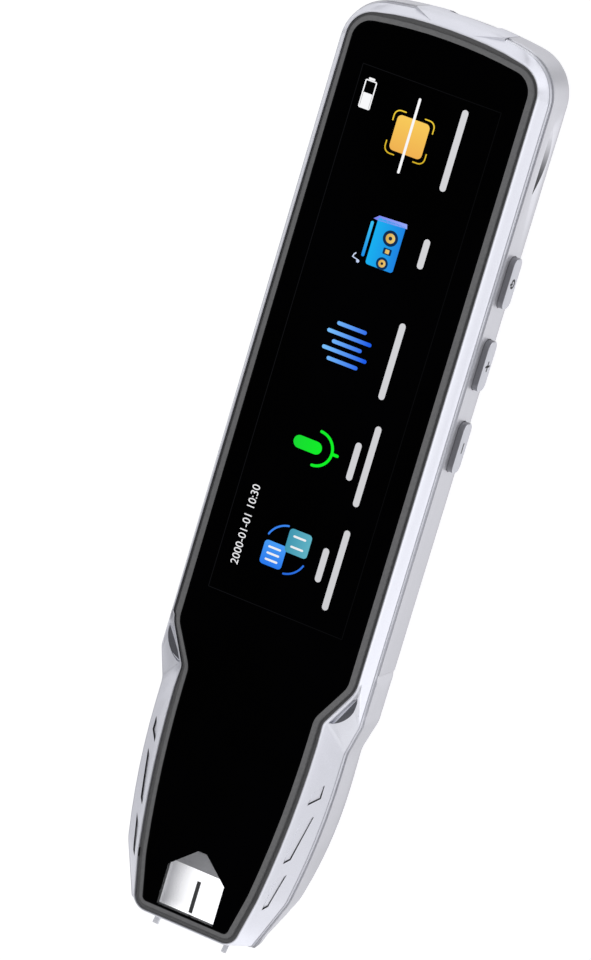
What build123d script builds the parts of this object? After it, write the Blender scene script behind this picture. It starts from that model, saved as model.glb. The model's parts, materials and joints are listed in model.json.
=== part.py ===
from build123d import *
import os
from dataclasses import dataclass
from math import atan2, cos, hypot, radians, sin, sqrt, tan

# Handheld scanning translator.  Millimetres.  X across the pen (keys on +X), Y along it towards
# the top end, Z out of the display.  The origin is the middle of the flat back that it rests on.

# ---------------------------------------------------------------- driving dimensions
# thickness, from the flat back up to the glass
wall = 1.4                  # rear cover
pad_thickness = 0.2         # adhesive under the battery
battery_thickness = 4.8
battery_headroom = 0.3      # battery to board
board_thickness = 1.0
component_room = 1.3        # board to chassis plate
plate_thickness = 0.6       # chassis plate
band_height = 1.2           # exposed edge of the chassis between cover and front frame
cushion_thickness = 0.7     # foam behind the display
screen_thickness = 1.9
tape_thickness = 0.2
glass_thickness = 1.1
glass_proud = 0.6           # glass above the frame's rim

# length, from the top end to the chin
screen_top = 10.6           # lit area from the top end
screen_length = 85.6        # lit area
screen_tail = 4.4           # dark ledge of the display that carries its driver
nose_length = 49.3          # end of the display to the chin

# width
body_width = 36.0
frame_side = 3.1            # glass to the widest part of the body
screen_side = 3.4           # edge of the glass to the lit area
screen_border = 1.1         # unlit border of the display panel

# glass, bezel and front frame
glass_top_margin = 3.25
glass_chin_margin = 1.9
glass_corner = 3.2
glass_gap = 0.1             # glass to bezel
bezel_width = 1.05
bezel_groove = 0.5          # shadow gap between bezel and frame
bezel_drop = 0.25           # bezel lies this much below the glass
frame_rim = 0.35            # flat rim of the frame outside the groove
frame_step = 0.4            # the frame's foot stands this far inside the outline
scoop_bulge = 1.3           # width of the lens-shaped pockets at the shoulders
scoop_shelf = 1.5           # their floor below the rim
seam_depth = 0.25           # fine lines above and below the exposed chassis edge

# outer form
crown_radius = 80.0         # rounding of the two short ends
body_corner = 7.5
back_round_width = 7.0      # rounding between flat back and sides, measured across
back_round_height = 3.4     # and measured up the side
chin_round_width = 2.5      # what is left of it at the chin
chin_round_height = 1.0
back_curve = 27.5           # the back curves up over this length above the chin
back_power = 2.4            # how late it does so
chin_lip = 1.2              # cover left at the chin above the curved back
apron_half = 7.6            # the front frame's apron, which closes the top end
apron_rim_half = 3.0        # its half width up at the frame's rim
apron_thickness = 0.8
apron_clearance = 0.1

# sound holes, ring groove and nail scoop
grille_pitch = 2.08
grille_hole = 1.0
grille_columns = 7
grille_rows = 5
grille_at = 17.4            # from the top end
ring_groove_at = 30.2       # from the top end
ring_groove_diameter = 7.0
ring_groove_width = 0.4
engraving_depth = 0.25
scoop_at = 16.45            # middle of the nail scoop from the top end
scoop_length = 11.6
scoop_depth = 0.9
scoop_height = 2.4
scoop_drop = 1.5            # its upper edge below the cover's rim

# keys
key_length = 8.15
key_height = 3.2
key_proud = 1.05
key_pitch = 13.4
first_key_at = 36.15        # middle of the power key from the top end
key_drop = 2.2              # middle of the keys below the cover's rim
key_bevel = 0.12
key_clearance = 0.1
key_travel = 0.35
key_flange = 0.6            # thickness of the lip that keeps the key in
key_lip = 0.5               # how far that lip stands out round the key

# sight window
window_side_margin = 2.5    # corner of the glass to the window
window_side = 6.7           # height of the window's straight sides
window_gable = 3.8
window_margin = 0.45        # black edge of the glass under the window
window_fit = 0.05
mark_width = 0.6            # black aiming line in the sight window
mark_length = 5.3

# scan tip
tip_slope = 27.0            # degrees between scan tip and display
tip_width = 13.3
tip_up = 8.5                # top edge of the scan tip above the chin
tip_reach = 11.4            # from there down to the ends of its legs, along the pen
tip_leg = 0.85
tip_plate = 0.7
tip_bevel = 0.55
tip_proud = 0.9
tip_travel = 0.8
tip_clearance = 0.1
tip_round = 1.8

# bought-in parts
usb_width = 8.94
usb_height = 3.26
usb_wall = 0.3
usb_depth = 7.35
usb_inset = 1.7             # socket behind the top end
usb_lift = 0.65             # socket above the cover's floor
plug_width = 8.25
plug_height = 2.4
plug_room = 0.2
battery_length = 60.0
battery_width = 21.8
battery_gap = 4.2           # lower end of the battery above the end of the display
screw_diameter = 1.3
screw_fit = 0.05
speaker_margin = 1.0        # speaker beyond the outermost sound holes
speaker_height = 2.4
gasket_thickness = 0.5

# ---------------------------------------------------------------- derived places
body_length = screen_top + screen_length + screen_tail + nose_length
top_end = body_length / 2
chin_end = -body_length / 2
half_width = body_width / 2
glass_half = half_width - frame_side
board_z = wall + pad_thickness + battery_thickness + battery_headroom
board_top = board_z + board_thickness
plate_z = board_top + component_room
frame_z = plate_z + plate_thickness
cover_height = frame_z - band_height
panel_z = frame_z + cushion_thickness
seat_z = panel_z + screen_thickness
glass_z = seat_z + tape_thickness + glass_thickness
rim_z = glass_z - glass_proud
pocket_grow = glass_gap + bezel_width + bezel_groove
chin_rise = cover_height - chin_lip


def along(distance):
    """Y of a place given by its distance from the top end."""
    return top_end - distance


def up(distance):
    """Y of a place given by its distance above the chin."""
    return chin_end + distance


@dataclass
class Plan:
    """Right half of a plan outline: straight side, shoulder, neck, tapering cheek and chin."""
    half: float
    top: float
    corner: float
    shoulder_top: float
    shoulder_bottom: float
    neck_half: float
    cheek_half: float
    cheek: float
    chin_half: float
    chin: float
    soft: float
    cheek_soft: float


body_plan = Plan(
    half=half_width, top=top_end, corner=body_corner,
    shoulder_top=up(40.7), shoulder_bottom=up(35.5),
    neck_half=half_width - 1.4, cheek_half=half_width - 3.5, cheek=up(9.0),
    chin_half=half_width - 7.0, chin=chin_end, soft=4.0, cheek_soft=8.0,
)
glass_plan = Plan(
    half=glass_half, top=top_end - glass_top_margin, corner=glass_corner,
    shoulder_top=up(46.7), shoulder_bottom=up(40.1),
    neck_half=glass_half - 3.8, cheek_half=glass_half - 5.85, cheek=up(9.0),
    chin_half=glass_half - 7.4, chin=chin_end + glass_chin_margin, soft=3.5, cheek_soft=20.0,
)
chin_corner = 0.8           # rounding of both outlines' lowest corners


def nearest(vertices, x, y):
    return min(vertices, key=lambda v: hypot(v.X - x, v.Y - y))


def plan_face(plan, grow=0.0, z=0.0):
    """The outline as a face at height z, moved outwards everywhere by grow."""
    turn = atan2(plan.half - plan.neck_half, plan.shoulder_top - plan.shoulder_bottom)
    slip = grow * tan(turn / 2)
    half = plan.half + grow
    top = plan.top + grow
    crown = crown_radius + grow
    corner_y = top - (crown - sqrt(crown ** 2 - half ** 2))
    neck = plan.neck_half + grow
    reach = hypot(plan.chin_half - plan.cheek_half, plan.chin - plan.cheek)
    lean = (plan.cheek_half - plan.chin_half) / reach
    fall = (plan.cheek - plan.chin) / reach
    cheek = (plan.cheek_half + grow * fall, plan.cheek - grow * lean)
    chin_y = plan.chin - grow
    chin_half = plan.chin_half + grow * fall - (grow - grow * lean) * lean / fall
    points = [
        (half, corner_y), (half, plan.shoulder_top - slip), (neck, plan.shoulder_bottom - slip),
        (neck, plan.shoulder_bottom - slip - plan.soft), cheek, (chin_half, chin_y),
    ]
    right = [
        Line(points[0], points[1]), Line(points[1], points[2]), Line(points[2], points[3]),
        TangentArc(points[3], points[4], tangent=(0, -1)), Line(points[4], points[5]),
    ]
    left = [mirror(edge, about=Plane.YZ) for edge in right]
    crown_arc = ThreePointArc((-half, corner_y), (0, top), (half, corner_y))
    chin_line = Line((-chin_half, chin_y), (chin_half, chin_y))
    face = make_face([crown_arc, *right, chin_line, *left]).face()
    radii = [
        (plan.corner + grow, points[0]), (plan.soft + grow, points[1]),
        (plan.soft - grow, points[2]), (plan.cheek_soft + grow, points[4]),
        (max(0.3, chin_corner + grow), points[5]),
    ]
    for radius, (x, y) in radii:
        corners = [nearest(face.vertices(), side * x, y) for side in (1, -1)]
        face = face.fillet_2d(radius, corners)
    return Pos(0, 0, z) * face


def slab(plan, grow, low, high):
    return extrude(plan_face(plan, grow, low), high - low)


def box(x0, x1, y0, y1, z0, z1):
    """A box between two values on each axis, in any order."""
    size = (abs(x1 - x0), abs(y1 - y0), abs(z1 - z0))
    return Pos((x0 + x1) / 2, (y0 + y1) / 2, (z0 + z1) / 2) * Box(*size)


def both_sides(shape):
    return shape + mirror(shape, about=Plane.YZ)


def prism(points, low, high):
    return extrude(Pos(0, 0, low) * make_face(Polyline(*points, close=True)), high - low)


# ---------------------------------------------------------------- outer form of the rear cover
nose_start = up(nose_length)
nose_steps = 44             # sections of the nose, close enough for the shoulder
back_skim = 0.005           # taken off the rounded form to leave a true plane
outline_strip = 0.02        # width of the strip that reads the outline's half width


def back_z(above):
    """Height of the curved back at a distance above the chin."""
    past = max(0.0, back_curve - above)
    return chin_rise * (past / back_curve) ** back_power


def plan_half(plan, y):
    """Half width of an outline at Y."""
    strip = plan_face(plan) & Pos(0, y) * Rectangle(4 * plan.half, outline_strip)
    return strip.bounding_box().max.X


def nose_section(above, half, inset, high):
    """Cross-section of the nose: flat back, two elliptical corners, upright sides."""
    share = min(1.0, above / (body_plan.shoulder_bottom - chin_end))
    low = back_z(above) + inset - back_skim
    wide = chin_round_width + (back_round_width - chin_round_width) * share - inset
    tall = chin_round_height + (back_round_height - chin_round_height) * share
    tall = tall - inset * back_round_height / back_round_width
    side = half - inset
    flat = side - wide
    outline = Wire([
        Line((-flat, low), (flat, low)),
        EllipticalCenterArc((flat, low + tall), wide, tall, start_angle=270, arc_size=90),
        Line((side, low + tall), (side, high)), Line((side, high), (-side, high)),
        Line((-side, high), (-side, low + tall)),
        EllipticalCenterArc((-flat, low + tall), wide, tall, start_angle=180, arc_size=90),
    ])
    return Plane(origin=(0, up(above), 0), x_dir=(1, 0, 0), z_dir=(0, -1, 0)) * outline


nose_stations = [nose_length * (1 - step / nose_steps) for step in range(nose_steps + 1)]
nose_halves = [plan_half(body_plan, up(max(above, 2 * chin_corner))) for above in nose_stations]
nose_halves[-1] = body_plan.chin_half


def cover_form(inset, high, end, every=1):
    """The rear cover's outer form, set inwards by inset, up to height high and down to end."""
    squash = back_round_height / back_round_width
    low = (inset - back_skim) / squash
    tall = slab(body_plan, -inset, low, high / squash)
    upper = tall & box(-body_width, body_width, nose_start, body_length, -body_width, body_width)
    rounded = [
        edge for edge in upper.edges()
        if abs(edge.bounding_box().max.Z - low) < 0.01 and edge.center().Y > nose_start + 0.01
    ]
    upper = scale(fillet(rounded, back_round_width - inset), (1, 1, squash))
    stations = [place for place in zip(nose_stations, nose_halves) if place[0] >= end]
    sections = [nose_section(above, half, inset, high) for above, half in stations[::every]]
    form = upper + Solid.make_loft(sections)
    return form & box(-body_width, body_width, -body_length, body_length, inset, high + 1)


def end_block(half, low, high):
    """Block round the middle of the top end."""
    return box(-half, half, top_end - 4, top_end + 1, low, high)


def apron_room():
    """Room that the front frame's apron needs in the cover and the chassis."""
    inner = slab(body_plan, -apron_thickness - apron_clearance, 0, rim_z)
    low = back_round_height
    return end_block(apron_half + apron_clearance, low, frame_z + 1) - inner


window_half = glass_plan.chin_half - window_side_margin
window_foot = glass_plan.chin + window_margin
window_ridge = window_foot + window_side + window_gable


def window_outline(grow, low, high):
    """Prism of the sight window: a square foot with a gabled top."""
    half = window_half + grow
    shoulder = window_foot + window_side + 0.4 * grow
    ridge = shoulder + window_gable + 0.6 * grow
    flat = window_half * 0.15
    return prism(
        [(-half, window_foot - grow), (half, window_foot - grow), (half, shoulder),
         (flat, ridge), (-flat, ridge), (-half, shoulder)], low, high)


# ---------------------------------------------------------------- scan tip frame of reference
# On this plane X runs across, Y down the slope towards the paper and Z out of the back.
slope = radians(tip_slope)
tip_plane = Plane(
    origin=(0, up(tip_up), back_z(tip_up) - tip_proud),
    x_dir=(1, 0, 0), z_dir=(0, -sin(slope), -cos(slope)),
)
tip_length = tip_reach / cos(slope)
tip_half = tip_width / 2
tip_inner_half = tip_half - tip_leg
cover_skin = tip_proud + wall       # depth below the tip's face at which the cover's inside starts
notch_start = 1.0
bar_start = notch_start + tip_travel + tip_clearance
bar_end = bar_start + 0.7
bar_depth = cover_skin + 1.6
hood_start = bar_end + tip_clearance
hood_end = 6.8
hood_depth = 1.4            # the hood's face below the tip's face
spring_x = 2.6
spring_radius = 0.62
spring_wire = 0.24
spring_turns = 5
spring_stop = -1.2
spring_fit = 0.02
spring_depth = cover_skin + spring_radius + spring_wire / 2 + tip_clearance
pocket_top = -4.5
pocket_depth = 3.2


def tip_space():
    """Room that the scan tip, its spring and its switch need in the cover and the chassis."""
    wide = 2 * (tip_half + tip_clearance)
    notch = box(-wide / 2, wide / 2, notch_start, 2 * tip_length, -glass_z, glass_z)
    pocket = box(-wide / 2, wide / 2, pocket_top, notch_start, -cover_skin - pocket_depth, -cover_skin)
    return tip_plane * (notch + pocket)


def scan_tip():
    """White U-shaped nose with two feeler legs and a bar that its spring and switch meet."""
    outline = Pos(0, tip_length / 2, 0) * Rectangle(tip_width, tip_length)
    outline = fillet([v for v in outline.vertices() if v.Y < 1], tip_round)
    inner_length = tip_length - bar_end
    opening = Pos(0, bar_end + inner_length / 2, 0) * Rectangle(2 * tip_inner_half, inner_length)
    opening = fillet([v for v in opening.vertices() if v.Y < bar_end + 0.1], tip_round - tip_leg + 0.2)
    plate = extrude(outline - opening, -tip_plate)
    rim = [
        edge for edge in plate.edges()
        if abs(edge.bounding_box().min.Z) < 0.01 and edge.center().Y < tip_round
        and edge.bounding_box().min.Y < tip_round - 0.01
    ]
    plate = chamfer(rim, tip_bevel)
    bar = box(-tip_half, tip_half, bar_start, bar_end, -bar_depth, -tip_plate)
    return tip_plane * (plate + bar)


def scan_hood():
    """Fixed white block inside the U, with a tunnel for the camera and three alignment slots."""
    half = tip_inner_half - 0.15
    block = box(-half, half, hood_start, hood_end, -hood_depth - 8, -hood_depth)
    slot = box(-0.25, 0.25, hood_end - 2.7, hood_end, -hood_depth - 0.4, -hood_depth + 0.4)
    slots = slot + both_sides(Pos(half - 0.55, 0, 0) * slot)
    reach = (up(tip_up - tip_reach), up(tip_up))
    under_well = box(-half, half, *reach, 0, well_z)
    tunnel = box(1.2 - half, half - 1.2, *reach, well_z - 1.1, well_z)
    return (tip_plane * (block - slots)) & under_well - tunnel


def tip_switch():
    """Tact switch that the scan tip's bar works, soldered to its own small board."""
    middle = -cover_skin - 0.9
    body = Pos(-spring_x, -0.2, middle) * Box(3.0, 1.6, 1.6)
    plunger_end = bar_start - tip_travel - 0.05
    plunger = box(-spring_x - 0.6, 0.6 - spring_x, 0.6, plunger_end, middle - 0.4, middle + 0.4)
    board = Pos(-spring_x, -1.2, middle) * Box(4.4, 0.4, 1.8)
    return tip_plane * (body + plunger + board)


def tip_spring():
    """Return spring of the scan tip, each turn drawn as a closed ring."""
    first = spring_stop + spring_wire / 2 + spring_fit
    last = bar_start - spring_wire / 2 - 2 * spring_fit
    outer = Cylinder(spring_radius + spring_wire / 2, spring_wire)
    ring = Rot(90, 0, 0) * (outer - Cylinder(spring_radius - spring_wire / 2, 2 * spring_wire))
    turns = [
        Pos(spring_x, first + (last - first) * turn / (spring_turns - 1), -spring_depth) * ring
        for turn in range(spring_turns)
    ]
    return tip_plane * Compound(children=turns)


def spring_post():
    """Step inside the cover that the spring pushes against."""
    return tip_plane * box(
        spring_x - 1.2, spring_x + 1.2, spring_stop - 1.2, spring_stop,
        -spring_depth - spring_radius, 0.1 - cover_skin)


# ---------------------------------------------------------------- keys in the side
key_z = cover_height - key_drop
key_wall_x = half_width - wall - 0.1        # the keys' lips rest behind this face
key_names = ["power_key", "volume_up_key", "volume_down_key"]
key_places = [along(first_key_at + key_pitch * step) for step in range(len(key_names))]
key_round = 1.3
lip_x = key_wall_x - 0.05 - key_flange
switch_height = 0.8
switch_width = 3.2
plunger_length = 0.45
plunger_x = lip_x - key_travel - 0.05
key_board_x = plunger_x - plunger_length - switch_height
key_board_thickness = 0.8
key_rib_x = key_board_x - key_board_thickness
key_rib_width = 3.0
key_rib_thickness = 0.5
key_board_half = key_pitch + key_length / 2 + 2.4
key_room_low = key_z - key_height / 2 - key_lip - 0.3


def side_slot(length, height, x0, x1, y, round_by):
    face = Plane.YZ * RectangleRounded(length, height, round_by)
    return Pos(x0, y, key_z) * extrude(face, x1 - x0)


def key(y):
    """Moulded key: a cap that stands out of the side and a lip that keeps it in."""
    cap = side_slot(key_length, key_height, lip_x, half_width + key_proud, y, key_round)
    rim = cap.faces().sort_by(Axis.X)[-1].edges()
    cap = chamfer(rim, key_bevel)
    lip = side_slot(key_length + 2 * key_lip, key_height + 2 * key_lip, lip_x, lip_x + key_flange, y, 1.0)
    return cap + lip


def key_openings():
    """Slots for the keys and the room behind them for their board."""
    grown = 2 * key_clearance
    slots = [
        side_slot(key_length + grown, key_height + grown, lip_x, half_width + 2, y, key_round + key_clearance)
        for y in key_places
    ]
    room = box(key_rib_x - key_rib_thickness, key_wall_x, key_places[1] + key_board_half + 1.6,
               key_places[1] - key_board_half - 1.6, key_room_low, cover_height + 1)
    return Compound(children=[*slots, room])


def key_ribs():
    """Two ribs of the cover that the key board stands against."""
    rib = box(key_rib_x - key_rib_thickness, key_rib_x, key_board_half,
              key_board_half - key_rib_width, wall - 0.3, board_z - 0.3)
    return Pos(0, key_places[1], 0) * (rib + mirror(rib, about=Plane.XZ))


def side_key_board():
    return box(key_rib_x, key_board_x, key_places[1] - key_board_half, key_places[1] + key_board_half,
               key_room_low, cover_height - 0.3)


def side_key_switches():
    """Three tact switches, each a can with a plunger."""
    can_half = switch_width / 2
    bodies = []
    for y in key_places:
        can = box(key_board_x, key_board_x + switch_height, y - can_half, y + can_half,
                  key_z - key_round, key_z + key_round)
        stem = box(key_board_x + switch_height, plunger_x, y - 0.7, y + 0.7, key_z - 0.5, key_z + 0.5)
        bodies.append(can + stem)
    return Compound(children=bodies)


# ---------------------------------------------------------------- rear cover
grille_length = (grille_columns - 1) * grille_pitch + grille_hole
grille_breadth = (grille_rows - 1) * grille_pitch + grille_hole
grip_outer = half_width - 5.1
grip_inner = half_width - 10.8
grip_pitch = 6.3


def grille_holes():
    """Square grid of sound holes with its four corners left out."""
    middle = ((grille_columns - 1) / 2, (grille_rows - 1) / 2)
    holes = []
    for column in range(grille_columns):
        for row in range(grille_rows):
            at_corner = column in (0, grille_columns - 1) and row in (0, grille_rows - 1)
            if not at_corner:
                x = (column - middle[0]) * grille_pitch
                y = along(grille_at) + (row - middle[1]) * grille_pitch
                holes.append(Pos(x, y, wall / 2) * Cylinder(grille_hole / 2, 2 * wall))
    return Compound(children=holes)


def ring_groove():
    ring = Circle(ring_groove_diameter / 2) - Circle(ring_groove_diameter / 2 - ring_groove_width)
    return Pos(0, along(ring_groove_at), -1) * extrude(ring, 1 + engraving_depth)


def grip_marks():
    """Slanted marks down both sides of the back: a long blade, four bars and a small last one."""
    blade = [(grip_outer, along(21.9)), (grip_outer, along(28.9)), (grip_inner, along(34.8))]
    last = [(grip_outer - 0.2, along(58.2)), (grip_outer - 0.2, along(59.8)), (grip_inner + 1.8, along(64.6))]
    bars = [
        [(grip_outer, along(33.2 + shift)), (grip_outer, along(35.8 + shift)),
         (grip_inner, along(41.3 + shift)), (grip_inner - 0.5, along(39.0 + shift))]
        for shift in (0, grip_pitch, 2 * grip_pitch, 3 * grip_pitch)
    ]
    marks = [prism(points, -1, back_round_height) for points in (blade, *bars, last)]
    return both_sides(Compound(children=marks))


def nail_scoop():
    """Scoop for a fingernail: level at its upper edge, running out downwards in a bow."""
    radius = ((scoop_length / 2) ** 2 + scoop_depth ** 2) / (2 * scoop_depth)
    middle = cover_height - scoop_drop - scoop_height / 2
    place = (half_width - scoop_depth + radius, along(scoop_at), middle)
    return Pos(*place) * Cone(radius - scoop_depth, radius, scoop_height)


usb_z = wall + usb_lift + usb_height / 2
usb_gap = 0.17              # cover to socket shell


def usb_opening():
    """Mouth for the plug and, behind it, the room for the socket's shell."""
    mouth = RectangleRounded(plug_width + 2 * plug_room, plug_height + 2 * plug_room, plug_height / 2)
    room = RectangleRounded(usb_width + 2 * usb_gap, usb_height + 2 * usb_gap, usb_height / 2)
    return Pos(0, top_end - usb_inset + usb_gap, usb_z) * (
        extrude(Plane.XZ * mouth, -usb_inset - 1) + extrude(Plane.XZ * room, wall + 3))


def chin_bevel():
    """Wedge that bevels the cover's lower edge from the curved back up to the seam."""
    start = 1.5
    points = [
        (0, up(start), back_z(start)), (0, up(-0.6), cover_height),
        (0, up(-0.6), -1), (0, up(start), -1),
    ]
    return extrude(make_face(Polyline(*points, close=True)), body_width, both=True)


def rear_cover():
    high = cover_height + 1
    cover = cover_form(0, cover_height, 0) - cover_form(wall, high, tip_up, every=4)
    cover = cover & slab(body_plan, 0.15, -1, high)
    cover = cover - (grip_marks() - cover_form(engraving_depth, high, back_curve, every=4))
    cover = cover - ring_groove() - grille_holes() - key_openings() - usb_opening()
    cover = cover - nail_scoop() - chin_bevel() - tip_space()
    return cover - apron_room() + key_ribs() + spring_post()


# ---------------------------------------------------------------- chassis and board
board_half = key_rib_x - key_rib_thickness - 0.3
battery_low = nose_start + battery_gap
battery_high = battery_low + battery_length
boss_x = board_half - 2.2
boss_diameter = 3.4
boss_places = [(side * boss_x, y) for y in (battery_high + 5.0, nose_start - 4.8) for side in (1, -1)]
boss_hole = screw_diameter / 2 + screw_fit
chassis_low = up(13.5)
chip_height = 0.65 * component_room
flex_half = 4.0
flex_fold = 1.9             # how far the flex reaches past the display


def seam_ring():
    """Exposed edge of the chassis, stepped so that a fine line shows on each side of it."""
    line = 0.12
    middle = slab(body_plan, -seam_depth, cover_height + line, frame_z - line)
    return middle + slab(body_plan, -frame_step, cover_height, frame_z)


def mid_chassis():
    """Tray between the shells: outer ring, plate under the display and bosses for the board."""
    ring = seam_ring() - slab(body_plan, -seam_depth - wall, cover_height - 1, frame_z + 1)
    plate = slab(body_plan, -seam_depth - wall / 2, plate_z, frame_z)
    chassis = ring + (plate & box(-half_width, half_width, chassis_low, top_end, 0, glass_z))
    for x, y in boss_places:
        boss = Cylinder(boss_diameter / 2, component_room) - Cylinder(boss_hole, component_room)
        chassis += Pos(x, y, board_top + component_room / 2) * boss
    window_half_width = battery_width / 2 - 3
    for step in range(3):
        low = battery_low + battery_length * (0.12 + 0.28 * step)
        chassis -= box(-window_half_width, window_half_width, low, low + battery_length * 0.2, 0, glass_z)
    chassis -= box(-flex_half - 1, flex_half + 1, nose_start - flex_fold - 1.1, nose_start, 0, glass_z)
    return chassis - apron_room() - tip_space()


def main_board():
    length = along(2.4) - up(27.5)
    board = extrude(RectangleRounded(2 * board_half, length, 3.0), board_thickness)
    board = Pos(0, up(27.5) + length / 2, board_z) * board
    for x, y in boss_places:
        board -= Pos(x, y, board_z) * Cylinder(boss_hole, 4 * board_thickness)
    return board


def board_screws():
    """Four identical screws, heads under the board."""
    head = Pos(0, 0, -0.35) * Cylinder(screw_diameter, 0.7) - Pos(0, 0, -0.65) * Box(0.3, 1.7, 0.4)
    length = board_thickness + component_room
    screw = head + Pos(0, 0, length / 2) * Cylinder(screw_diameter / 2, length)
    return Compound(children=[Pos(x, y, board_z) * screw for x, y in boss_places])


def board_chips():
    """Processor, memory, radio and power chips round the display's connector."""
    side = board_half - 4.0
    places = [(0, -10.8, 10, 10), (-side, 4.2, 6.5, 6), (side, 3.2, 6, 5), (side / 3, 12.2, 4, 4)]
    return Compound(children=[
        box(x - wide / 2, x + wide / 2, nose_start + y - deep / 2, nose_start + y + deep / 2,
            board_top, board_top + chip_height)
        for x, y, wide, deep in places
    ])


# ---------------------------------------------------------------- display
screen_half = glass_half - screen_side + screen_border
panel_top = along(screen_top) + screen_border + 0.2
panel_lit_end = nose_start + screen_tail - screen_border
panel_ledge = 0.7


def display_panel():
    body = box(-screen_half, screen_half, nose_start, panel_top, panel_z, seat_z)
    return body - box(-screen_half, screen_half, nose_start, panel_lit_end, seat_z - panel_ledge, glass_z)


def display_bond():
    return box(-screen_half, screen_half, panel_lit_end, panel_top, seat_z, seat_z + tape_thickness)


def display_cushion():
    """Foam ring behind the display."""
    ring = 1.5
    outer = box(-screen_half, screen_half, nose_start + 2, panel_top, frame_z, panel_z)
    return outer - box(ring - screen_half, screen_half - ring, nose_start + 2 + ring, panel_top - ring, 0, glass_z)


def display_flex():
    """Thin printed tail that folds from the display down to the board."""
    thick = 0.15
    outside = [
        (2.0, panel_z), (-1.1, panel_z), (-flex_fold, panel_z - 1.0),
        (-flex_fold, board_top + 1.1), (-1.1, board_top), (2.4, board_top),
    ]
    inside = [
        (2.4, board_top + thick), (0.06 - 1.1, board_top + thick),
        (thick - flex_fold, board_top + 1.1 + 0.06), (thick - flex_fold, panel_z - 1.0 - 0.06),
        (0.06 - 1.1, panel_z - thick), (2.0, panel_z - thick),
    ]
    points = [(0, nose_start + y, z) for y, z in outside + inside]
    return extrude(make_face(Polyline(*points, close=True)), flex_half, both=True)


# ---------------------------------------------------------------- front frame, bezel and glass
ledge_z = seat_z - 0.8
well_z = seat_z - 2.0
well_floor = seat_z - 1.1
plate_under_z = seat_z - 1.2
well_half = window_half + 0.9
well_gap = 0.15             # the tub's hollow round the window
well_head = up(13.2)


def frame_form(inset, step=frame_step):
    """Outer form of the front frame: flares from its rim down to the seam."""
    rim = pocket_grow + frame_rim
    sections = [
        plan_face(body_plan, -step - inset, frame_z),
        plan_face(glass_plan, rim - inset, rim_z - 0.35),
        plan_face(glass_plan, rim - 0.2 - inset, rim_z),
    ]
    return loft(sections, ruled=True)


def apron():
    """Panel of the frame that closes the top end flush with the cover and narrows to the rim."""
    low = back_round_height + apron_clearance
    wall_part = slab(body_plan, 0, low, frame_z) - slab(body_plan, -apron_thickness, 0, rim_z)
    wall_part = wall_part & end_block(apron_half, low, frame_z)
    outline = Polyline(
        (-apron_half, frame_z), (apron_half, frame_z), (apron_rim_half, rim_z), (-apron_rim_half, rim_z),
        close=True)
    wedge = Pos(0, top_end + 1, 0) * extrude(Plane.XZ * make_face(outline), 5)
    return wall_part + (frame_form(0, 0) & wedge) - usb_opening()


def facet_marks():
    """Three slanted recesses on each lower facet, given inwards from the side and above the chin."""
    outlines = [
        [(2.9, 29.9), (2.9, 27.6), (4.3, 26.1), (4.1, 28.2)],
        [(3.1, 24.5), (4.5, 16.7), (5.3, 15.8), (4.6, 23.0)],
        [(4.5, 14.1), (5.8, 8.2), (6.5, 7.4), (5.8, 12.4)],
    ]
    marks = [
        prism([(half_width - inwards, up(above)) for inwards, above in outline], frame_z + 0.6, rim_z - 0.5)
        for outline in outlines
    ]
    return both_sides(Compound(children=marks))


def shoulder_scoops():
    """Lens-shaped pocket beside the rim at each shoulder."""
    gap = pocket_grow + frame_rim + 0.1
    fall = glass_plan.shoulder_top - glass_plan.shoulder_bottom
    slip = gap * tan(atan2(glass_plan.half - glass_plan.neck_half, fall) / 2)
    upper = Vector(glass_plan.half + gap, glass_plan.shoulder_top - slip)
    lower = Vector(glass_plan.neck_half + gap, glass_plan.shoulder_bottom - slip)
    first, last = [upper + (lower - upper) * share for share in (0.1, 0.95)]
    lens = make_face([Line(first, last), SagittaArc(first, last, scoop_bulge)])
    return both_sides(Pos(0, 0, rim_z - scoop_shelf) * extrude(lens, scoop_shelf + 1))


def front_frame():
    """Frame round the display: flared sides, ledge for the glass and pockets for what is under it."""
    frame = frame_form(0) + apron() - slab(glass_plan, pocket_grow, ledge_z, rim_z + 1)
    frame = frame + slab(glass_plan, 0, ledge_z - 0.1, seat_z)
    hollow = slab(glass_plan, -1.2, frame_z - 1, plate_under_z)
    gap = 0.4
    display = box(-screen_half - gap, screen_half + gap, nose_start - gap, panel_top + gap, 0, glass_z)
    well = box(-well_half - 0.3, well_half + 0.3, glass_plan.chin + 0.05, well_head + 0.3, 0, glass_z)
    frame = frame - hollow - display - well - shoulder_scoops()
    return frame - (facet_marks() - frame_form(0.3))


def bezel_trim():
    """Dark ring around the glass, with a low flange in the groove of the frame."""
    outer = glass_gap + bezel_width
    top = glass_z - bezel_drop
    ring = loft([
        plan_face(glass_plan, outer, ledge_z), plan_face(glass_plan, outer, top - 0.3),
        plan_face(glass_plan, outer - 0.2, top)], ruled=True)
    flange = slab(glass_plan, pocket_grow - 0.04, ledge_z, rim_z - 0.6)
    return ring + flange - slab(glass_plan, glass_gap, ledge_z - 1, glass_z + 1)


def front_glass():
    glass = slab(glass_plan, 0, glass_z - glass_thickness, glass_z)
    rim = glass.faces().sort_by(Axis.Z)[-1].edges()
    return chamfer(rim, 0.12) - window_outline(window_fit, 0, glass_z + 1)


def glass_tape():
    high = seat_z + tape_thickness
    ring = slab(glass_plan, -0.2, seat_z, high) - slab(glass_plan, -1.5, seat_z - 1, high + 1)
    return ring - window_outline(1.3, seat_z - 1, high + 1)


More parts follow.
